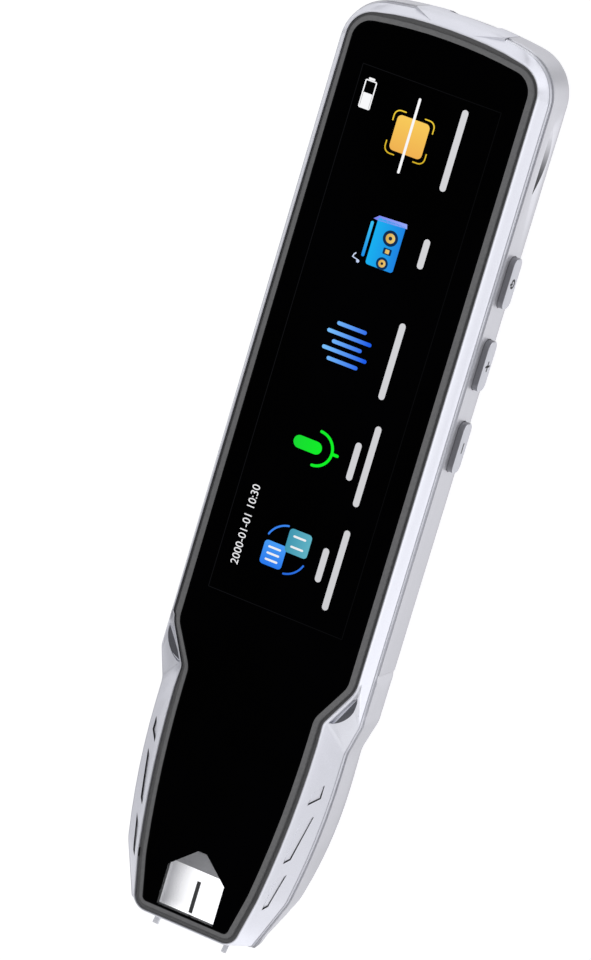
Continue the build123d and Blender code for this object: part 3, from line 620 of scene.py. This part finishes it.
def shadow_strip(skin, corners, width):
    """A strip of painted shadow on the floor of a recess, along its outer and its lower wall.

    The path runs through the first three corners, on the plane through the skin's lowest points at all
    four.  It is moved sideways towards the middle of the recess by the width, which grows from a third
    of it at the upper end.
    """
    points = points_of(skin)
    far = np.linalg.norm(points[None, :, :2] - corners[:, None], axis=2)
    lowest = np.where((far < corner_reach) & (points[:, 2] > strip_low), points[:, 2], 1.0).min(axis=1)
    tilt = np.linalg.lstsq(np.c_[corners, np.ones(4)], lowest, rcond=None)[0]
    outer = np.linspace(corners[0], corners[1], outer_points)
    lower = np.linspace(corners[1], corners[2], lower_points)
    path = np.concatenate([outer[:-1], lower])
    along = np.gradient(path, axis=0)
    along /= np.linalg.norm(along, axis=1)[:, None]
    side = np.stack([-along[:, 1], along[:, 0]], axis=1)
    side *= np.sign(((corners.mean(axis=0) - path) * side).sum(axis=1))[:, None]
    share = np.clip(np.linspace(narrow_end, wide_end, len(path)), 0, 1)
    moved = path + side * (width * share)[:, None]
    ring = np.concatenate([path, moved[::-1]])
    level = ring @ tilt[:2] + tilt[2]
    count = len(ring)
    points = np.concatenate([np.c_[ring, level - strip_half], np.c_[ring, level + strip_half]])
    low = [[k, k + 1, count - 2 - k, count - 1 - k] for k in range(len(path) - 1)]
    high = [[corner + count for corner in face[::-1]] for face in low]
    walls = [[k, k + count, (k + 1) % count + count, (k + 1) % count] for k in range(count)]
    return points, low + high + walls


# corners of the recesses in millimetres, inwards from the side and above the chin
body_side, body_chin, shadow_width = 18.0, -74.95, 0.00022
recesses = [
    [(2.9, 29.9), (2.9, 27.6), (4.3, 26.1), (4.1, 28.2)],
    [(3.1, 24.5), (4.5, 16.7), (5.3, 15.8), (4.6, 23.0)],
    [(4.5, 14.1), (5.8, 8.2), (6.5, 7.4), (5.8, 12.4)]]
# painted shadow strips along the outer and lower walls of each recess, on both sides
strips = []
for outline in recesses:
    corners = np.array([body_side, body_chin]) + np.array(outline) * (-1, 1)
    strips += [shadow_strip(front.data, corners * (side / 1000, 0.001), shadow_width) for side in (1, -1)]
points, faces = joined(strips)
turned_out(piece_of("recess_shadow_strips", points, faces, "housing", cut_shade, smooth=False))


# ---------------------------------------------------------------- display
# A bar-shaped panel that rests on a foam ring over the plate of the chassis.  Clear adhesive bonds it
# to the front glass.

dress("display_panel", wandering(
    "panel_black", linear(14, 14, 16), linear(20, 20, 23), grain=0.002, roughness=0.3))
dress("display_bond", wandering(
    "clear_bond", linear(10, 10, 11), linear(14, 14, 15), grain=0.004, roughness=0.1))
dress("display_cushion", foam)


# ---------------------------------------------------------------- bezel
# A dark grey ring moulded in plastic round the glass, with a low flange in the groove of the frame, and
# the black tape that holds the glass down on its ledge.

bezel = dressed_copy("bezel_trim", sharp=0.6)
bezel.data.materials.append(wandering(
    "bezel_moulding", linear(108, 108, 108), linear(116, 116, 115), grain=0.0005, roughness=0.45,
    relief=0.000003))
lip_end, crest_from, crest_end, outer_end, flange_from = 0.0005, 0.0008, 0.001, 0.0013, 0.0015
crest_low, shoulder_low, wall_low = 0.0132, 0.0129, 0.0122
crest_pull, outer_pull, lip_rise, crest_fall, shoulder_fall = 0.00013, 0.00023, 0.00008, 0.00027, 0.0002


def bezel_rule(d, z, share):
    """The ring falls away from the glass and ends short of the groove, whose flange comes in with the rim."""
    lip = (d < lip_end) & (z > crest_low)
    crest = (d > crest_from) & (d < crest_end) & (z > crest_low)
    outer = (d > crest_end) & (d < outer_end) & (z > wall_low)
    shoulder = outer & (z > shoulder_low)
    flange = d > flange_from
    out = np.select([crest, outer, flange], [-crest_pull, -outer_pull, -edge_in * share], 0)
    rise = np.select([lip, crest, shoulder], [lip_rise, -crest_fall, -shoulder_fall], 0)
    return out, rise


reshape(bezel, bezel_rule)
dress("glass_tape", black_tape)


# ---------------------------------------------------------------- front glass
# One piece of hardened glass, printed black behind, with a polished edge; a clear window at the
# chin shows the paper, framed by a white tub with a black aiming line.

glass_top = 0.01348
glass = dressed_copy("front_glass", sharp=0.25, highest=(2, glass_top))
glass_gloss = 0.015
glass.data.materials.append(wandering(
    "black_glass", linear(0, 0, 0), linear(1, 1, 2), grain=0.02, roughness=0.06, spread=0.02,
    specular=glass_gloss))
clear = wandering(
    "clear_glass", linear(236, 240, 241), linear(244, 247, 248), grain=0.01, roughness=0.04, spread=0.02)
shader_of(clear)[1].inputs["Alpha"].default_value = 0.04
dress("sight_window", clear)

# painted light: the floor of the well glows, least on its left; the ramp above it takes a painted shade
dark_end, lit_end, dark_side, lit_side, floor_glow, ramp_tilt = -0.0610, -0.0655, -0.0048, -0.001, 0.75, 0.2
well = dressed_copy("sight_well", sharp=0.5)
well_painted_glow = wandering("well_painted_glow", linear(212, 212, 215), linear(220, 220, 223), grain=0.004, roughness=0.4)
tree, shader = shader_of(well_painted_glow)
down = axis_ramp(tree, "Y", dark_end, lit_end, last=floor_glow, smooth=True)
aside = axis_ramp(tree, "X", dark_side, lit_side, first=0.1)
tree.links.new(product(tree, down, aside), shader.inputs["Emission Strength"])
shader.inputs["Emission Color"].default_value = linear(255, 255, 255)
well.data.materials.append(well_painted_glow)
# a grey copy for the ramp above the floor: painted shade
well.data.materials.append(wandering(
    "ramp_shade", linear(146, 146, 148), linear(158, 158, 160), grain=0.002, roughness=0.5))
for face in well.data.polygons:
    face.material_index = int(face.normal.y < -ramp_tilt and face.normal.z > ramp_tilt)
dress("aiming_mark", wandering(
    "mark_black", linear(0, 0, 0), linear(3, 3, 3), grain=0.0005, roughness=0.9, specular=0.05))


# ---------------------------------------------------------------- what the display shows
# Five signs in a row with a bar for each caption, a line of figures and the battery's charge, all
# to be read with the tip to the left.

screen_low, screen_high, layer = glass_top - 0.00002, 0.01349, 0.000002


def glowing(name, first, second, axis, start, end):
    """Light of the display: its colour runs from first to second between two places on an axis."""
    material = bpy.data.materials.new(name)
    tree, shader = shader_of(material)
    share = axis_ramp(tree, axis, start, end)
    tree.links.new(blended(tree, share, first, second), shader.inputs["Emission Color"])
    shader.inputs["Emission Strength"].default_value = 1.0
    shader.inputs["Base Color"].default_value = linear(3, 3, 4)
    shader.inputs["Roughness"].default_value = 0.06
    shader.inputs["Specular IOR Level"].default_value = glass_gloss
    return material


def rounded(middle, half_x, half_y, corner, steps=8):
    """Outline of a rectangle with round corners: four quarter circles, in turn."""
    x, y = half_x - corner, half_y - corner
    return np.concatenate([
        arc((middle[0] + sx * x, middle[1] + sy * y), corner, first, first + 90, steps)
        for sx, sy, first in ((1, 1, 0), (-1, 1, 90), (-1, -1, 180), (1, -1, 270))])


def on_screen(name, outlines, material, lift=0):
    """Thin tiles on the display, given in millimetres, each layer a hair above the last."""
    top = screen_high + lift * layer
    points, faces = joined([upright(np.asarray(outline) / 1000, screen_low, top) for outline in outlines])
    turned_out(piece_of(name, points, faces, "housing", material, smooth=False))


def bracket(middle, half, reach, corner, width, sx, sy):
    """A corner sign: a short straight, a quarter turn and another short straight."""
    cx, cy = middle[0] + sx * (half - corner), middle[1] + sy * (half - corner)
    first = {(1, 1): 0, (-1, 1): 90, (-1, -1): 180, (1, -1): 270}[(sx, sy)]
    bend = arc((cx, cy), corner, first, first + 90, 10)
    start = bend[0] + (bend[0] - (cx, cy))[::-1] * (1, -1) / corner * reach
    finish = bend[-1] + (bend[-1] - (cx, cy))[::-1] * (-1, 1) / corner * reach
    return stroke(np.concatenate([[start], bend, [finish]]), width)


white_light = glowing("white_light", linear(238, 238, 240), linear(250, 250, 252), "Y", -0.02, 0.07)

# edge of the lit area, just lighter than the black round it
lit_half, lit_from, lit_to, lit_line = 11.8, -21.4, 64.2, 0.12
lit_edge = [stroke([(x, lit_from), (x, 20), (x, lit_to)], lit_line) for x in (-lit_half, lit_half)]
lit_edge += [stroke([(-lit_half, y), (0, y), (lit_half, y)], lit_line) for y in (lit_from, lit_to)]
on_screen("lit_edge", lit_edge,
          glowing("edge_glow", linear(16, 16, 18), linear(9, 9, 10), "X", -0.0115, 0.0115))

# two overlapping cards between two arcs: from one language to another
on_screen("card_blue", [rounded((-3.03, -12.87), 1.9, 1.95, 0.6)],
          glowing("card_blue", linear(40, 120, 236), linear(72, 156, 246), "Y", -0.0148, -0.0109))
on_screen("card_teal", [rounded((0.47, -9.75), 1.95, 1.95, 0.6)],
          glowing("card_teal", linear(64, 150, 176), linear(96, 178, 196), "X", -0.0015, 0.0024), lift=1)
on_screen("card_lines", [
    stroke([(-4.0, y), (-3.0, y), (-2.1, y)], 0.34) for y in (-13.9, -12.87, -11.85)] + [
    stroke([(-0.5, y), (0.5, y), (1.4, y)], 0.34) for y in (-10.6, -8.9)], white_light, lift=2)
on_screen("card_arcs", [
    stroke(arc((-1.2, -11.4), 3.75, 100, 158), 0.3), stroke(arc((-1.2, -11.4), 3.75, 280, 338), 0.3)],
    glowing("arc_blue", linear(38, 104, 220), linear(58, 134, 240), "Y", -0.0155, -0.0075))

# microphone: a capsule in its stirrup
on_screen("microphone_sign", [
    stroke([(-4.15, 5.45), (-2.7, 5.44), (-1.3, 5.43)], 2.05, 14),
    stroke(arc((-1.25, 5.43), 2.75, -88, 88), 0.46),
    stroke([(1.55, 5.43), (2.0, 5.43), (2.45, 5.43)], 0.5)],
    glowing("green_light", linear(24, 218, 50), linear(12, 246, 34), "X", -0.005, 0.002))

# five sound bars
bar_rows = [
    (25.1, -3.5, 1.0), (23.55, -4.75, 2.3), (22.15, -3.5, 1.05), (20.85, -4.8, 2.3), (19.4, -3.55, 1.2)]
on_screen("sound_bars", [stroke([(a, y), ((a + b) / 2, y), (b, y)], 0.62) for y, a, b in bar_rows],
          glowing("bar_blue", linear(120, 190, 250), linear(28, 92, 232), "X", -0.0048, 0.0022))

# a radio with two loudspeakers
big_cone, small_cone, dial = (0.56, 40.24), (0.39, 36.14), (0.66, 38.15)
on_screen("radio_back", [[(-2.2, 42.2), (2.7, 42.5), (2.5, 43.2), (-2.2, 43.0), (-3.0, 42.3)]],
          glowing("radio_edge", linear(120, 130, 240), linear(150, 170, 250), "X", -0.003, 0.0026))
on_screen("radio_body", [rounded((0.1, 39.0), 2.35, 3.75, 0.45)],
          glowing("radio_blue", linear(24, 176, 240), linear(30, 130, 226), "X", -0.0022, 0.0025))
on_screen("radio_handle", [stroke([(-3.0, 36.4), (-3.0, 39.0), (-3.0, 41.6)], 0.5)],
          glowing("radio_handle", linear(26, 140, 230), linear(60, 196, 246), "Y", 0.036, 0.042))
on_screen("radio_rings", [arc(big_cone, 1.25, 0, 352.5, 48), arc(small_cone, 0.98, 0, 352.5, 48),
                          rounded(dial, 0.7, 0.5, 0.15)],
          glowing("radio_dark", linear(10, 52, 96), linear(16, 40, 74), "Y", 0.035, 0.042), lift=1)
on_screen("radio_cones", [arc(big_cone, 0.78, 0, 352.5, 48), arc(small_cone, 0.6, 0, 352.5, 48),
                          rounded(dial, 0.34, 0.32, 0.1)],
          glowing("radio_gold", linear(206, 160, 70), linear(240, 206, 120), "X", -0.0005, 0.0014), lift=2)
on_screen("radio_caps", [arc(big_cone, 0.3, 0, 345, 24), arc(small_cone, 0.22, 0, 345, 24)],
          glowing("radio_cap", linear(26, 34, 52), linear(40, 50, 70), "Y", 0.035, 0.042), lift=3)
on_screen("radio_note", [arc((-3.5, 35.2), 0.26, 0, 345, 24),
                         stroke([(-3.62, 35.4), (-4.1, 35.5), (-4.5, 35.6)], 0.16),
                         stroke([(-4.5, 35.6), (-4.4, 36.0), (-4.15, 36.3)], 0.18)],
          glowing("note_light", linear(190, 206, 240), linear(220, 230, 250), "Y", 0.035, 0.0365))

# a page in four brackets, with the scanning line across it
page = (-1.2, 55.95)
on_screen("page_tile", [rounded(page, 2.75, 2.8, 0.75)],
          glowing("page_orange", linear(240, 178, 82), linear(248, 202, 90), "Y", 0.0532, 0.0587))
on_screen("page_brackets", [bracket(page, 3.4, 0.75, 1.0, 0.2, sx, sy) for sx in (1, -1) for sy in (1, -1)],
          glowing("bracket_gold", linear(214, 178, 40), linear(240, 206, 60), "Y", 0.052, 0.060))
on_screen("page_line", [stroke([(-1.3, 50.3), (-1.3, 56.0), (-1.3, 61.9)], 0.42)], white_light, lift=1)

# the battery's outline with half its charge
cell_edge = rounded((-9.68, 59.9), 0.9, 2.15, 0.2)
on_screen("charge_case", [
    stroke(np.concatenate([cell_edge, cell_edge[:1]]), 0.2),
    stroke([(-10.05, 62.35), (-9.68, 62.35), (-9.3, 62.35)], 0.34)], white_light)
on_screen("charge_fill", [rounded((-9.68, 58.95), 0.75, 1.15, 0.12)], white_light, lift=1)

# captions, each as its middle and its length, which takes in the round ends
captions = [(5.2, -11.55, 5.6), (7.65, -11.5, 13.2), (5.3, 5.6, 6.2), (7.62, 5.6, 13.2), (6.55, 22.4, 12.4),
            (6.42, 39.75, 4.8), (6.3, 56.3, 13.0)]
bar_width = 1.05
on_screen("caption_bars", [
    stroke([(x, y - (long - bar_width) / 2), (x, y), (x, y + (long - bar_width) / 2)], bar_width)
    for x, y, long in captions],
    glowing("caption_light", linear(206, 206, 209), linear(214, 214, 217), "Y", -0.02, 0.064))

# date and time in plain figures
clock_place = (-0.00877, -0.00998, 0.013484)
figures = bpy.data.curves.new("clock_figures", "FONT")
figures.body = "2000-01-01 10:30"
figures.align_x, figures.align_y = "CENTER", "CENTER"
figures.size = 0.00185
figures.extrude = 0.000005
written = bpy.data.objects.new("clock_text", figures)
bpy.context.scene.collection.objects.link(written)
bpy.context.view_layer.update()
flat = bpy.data.meshes.new_from_object(written.evaluated_get(bpy.context.evaluated_depsgraph_get()))
bpy.data.objects.remove(written)
flat.transform(Matrix.Translation(clock_place) @ Matrix.Rotation(np.pi / 2, 4, "Z"))
flat.materials.clear()
flat.materials.append(white_light)
clock = bpy.data.objects.new("clock_figures", flat)
bpy.context.scene.collection.objects.link(clock)
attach(clock, "housing")


# ---------------------------------------------------------------- floor, light and camera
# A pale floor that only the camera sees, and only from above, a plain studio round the object and two
# soft lamps.

floor_mesh = bpy.data.meshes.new("floor")
floor_mesh.from_pydata([(-3, -3, 0), (3, -3, 0), (3, 3, 0), (-3, 3, 0)], [], [(0, 1, 2, 3)])
floor = bpy.data.objects.new("floor", floor_mesh)
bpy.context.scene.collection.objects.link(floor)
floor_look = bpy.data.materials.new("floor_pale")
floor_look.use_nodes = True
tree = floor_look.node_tree
tree.nodes.clear()
out = tree.nodes.new("ShaderNodeOutputMaterial")
path = tree.nodes.new("ShaderNodeLightPath")
side = tree.nodes.new("ShaderNodeNewGeometry")
shown = tree.nodes.new("ShaderNodeMath")
shown.operation = "SUBTRACT"
shown.use_clamp = True
tree.links.new(path.outputs["Is Camera Ray"], shown.inputs[0])
tree.links.new(side.outputs["Backfacing"], shown.inputs[1])
lit = tree.nodes.new("ShaderNodeBsdfDiffuse")
lit.inputs["Color"].default_value = (0.42, 0.42, 0.42, 1)
glow = tree.nodes.new("ShaderNodeEmission")
glow.inputs["Color"].default_value = (1, 1, 1, 1)
glow.inputs["Strength"].default_value = 0.82
both = tree.nodes.new("ShaderNodeAddShader")
tree.links.new(lit.outputs["BSDF"], both.inputs[0])
tree.links.new(glow.outputs["Emission"], both.inputs[1])
nothing = tree.nodes.new("ShaderNodeBsdfTransparent")
choice = tree.nodes.new("ShaderNodeMixShader")
tree.links.new(shown.outputs["Value"], choice.inputs["Fac"])
tree.links.new(nothing.outputs["BSDF"], choice.inputs[1])
tree.links.new(both.outputs["Shader"], choice.inputs[2])
tree.links.new(choice.outputs["Shader"], out.inputs["Surface"])
floor_mesh.materials.append(floor_look)

world = bpy.data.worlds.new("studio")
bpy.context.scene.world = world
world.use_nodes = True
tree = world.node_tree
tree.nodes.clear()
out = tree.nodes.new("ShaderNodeOutputWorld")
place = tree.nodes.new("ShaderNodeTexCoord")
parts = tree.nodes.new("ShaderNodeSeparateXYZ")
tree.links.new(place.outputs["Generated"], parts.inputs["Vector"])
bands = tree.nodes.new("ShaderNodeMapRange")
bands.inputs["From Min"].default_value = -1.0
bands.inputs["From Max"].default_value = 1.0
tree.links.new(parts.outputs["Z"], bands.inputs["Value"])
sky = tree.nodes.new("ShaderNodeValToRGB")
sky.color_ramp.interpolation = "LINEAR"
# greys of the studio from below to above, a little bluer than grey
cool = 1.05
stops = [(0.0, 0.5), (0.012, 0.6), (0.035, 0.76), (0.06, 0.92), (0.17, 1.15), (0.33, 1.1),
         (0.475, 0.7), (0.6, 0.64), (0.72, 0.62), (0.85, 0.58), (0.95, 0.4), (1.0, 0.36)]
for index, (position, grey) in enumerate(stops):
    stop = sky.color_ramp.elements[index] if index < 2 else sky.color_ramp.elements.new(position)
    stop.position = position
    stop.color = (grey, grey, grey * cool, 1)
tree.links.new(bands.outputs["Result"], sky.inputs["Fac"])
sides = tree.nodes.new("ShaderNodeMapRange")
sides.inputs["From Min"].default_value = -1.0
sides.inputs["To Min"].default_value = 0.6
sides.inputs["To Max"].default_value = 1.2
tree.links.new(parts.outputs["X"], sides.inputs["Value"])
level = sides.outputs["Result"]
# three dark flags in the studio: a direction, its inner and outer half angle in degrees and what it leaves
flags = [
    ((0.40, 0.43, -0.81), 6, 16, 0.1),
    ((0.88, 0.16, -0.43), 6, 14, 0.4),
    ((0.26, -0.40, -0.88), 5, 15, 0.72)]
for direction, inner, outer, left in flags:
    toward = tree.nodes.new("ShaderNodeVectorMath")
    toward.operation = "DOT_PRODUCT"
    toward.inputs[1].default_value = Vector(direction).normalized()
    tree.links.new(place.outputs["Generated"], toward.inputs[0])
    shade = tree.nodes.new("ShaderNodeMapRange")
    shade.interpolation_type = "SMOOTHSTEP"
    shade.inputs["From Min"].default_value = float(np.cos(np.radians(outer)))
    shade.inputs["From Max"].default_value = float(np.cos(np.radians(inner)))
    shade.inputs["To Min"].default_value = 1.0
    shade.inputs["To Max"].default_value = left
    tree.links.new(toward.outputs["Value"], shade.inputs["Value"])
    level = product(tree, level, shade.outputs["Result"])
around = tree.nodes.new("ShaderNodeBackground")
tree.links.new(sky.outputs["Color"], around.inputs["Color"])
tree.links.new(level, around.inputs["Strength"])
behind = tree.nodes.new("ShaderNodeBackground")
behind.inputs["Color"].default_value = (1, 1, 1, 1)
path = tree.nodes.new("ShaderNodeLightPath")
choice = tree.nodes.new("ShaderNodeMixShader")
tree.links.new(path.outputs["Is Camera Ray"], choice.inputs["Fac"])
tree.links.new(around.outputs["Background"], choice.inputs[1])
tree.links.new(behind.outputs["Background"], choice.inputs[2])
tree.links.new(choice.outputs["Shader"], out.inputs["Surface"])


def softbox(name, place, aim, size, power):
    """A square soft lamp at place that faces aim."""
    lamp = bpy.data.lights.new(name, "AREA")
    lamp.size = size
    lamp.energy = power
    holder = bpy.data.objects.new(name, lamp)
    holder.location = place
    holder.rotation_mode = "QUATERNION"
    holder.rotation_quaternion = (Vector(aim) - Vector(place)).to_track_quat("-Z", "Y")
    bpy.context.scene.collection.objects.link(holder)


softbox("key_lamp", (-0.55, 0.35, 0.75), (0, 0, 0), 0.8, 2.0)
softbox("fill_lamp", (0.35, -0.75, 0.5), (0, 0, 0), 1.2, 1.0)

sight = bpy.data.cameras.new("sight")
sight.lens = 199.74
sight.sensor_width = 36.0
sight.clip_start, sight.clip_end = 0.05, 20.0
camera = bpy.data.objects.new("camera", sight)
right, upwards = (0.875796, 0.278589, -0.394168), (-0.34508, 0.932367, -0.107753)
back, stand = (0.337491, 0.230389, 0.9127), (0.274208, 0.188751, 0.763126)
camera.matrix_world = Matrix((*zip(right, upwards, back, stand), (0, 0, 0, 1)))
bpy.context.scene.collection.objects.link(camera)
bpy.context.scene.camera = camera
bpy.context.scene.view_settings.view_transform = "Standard"
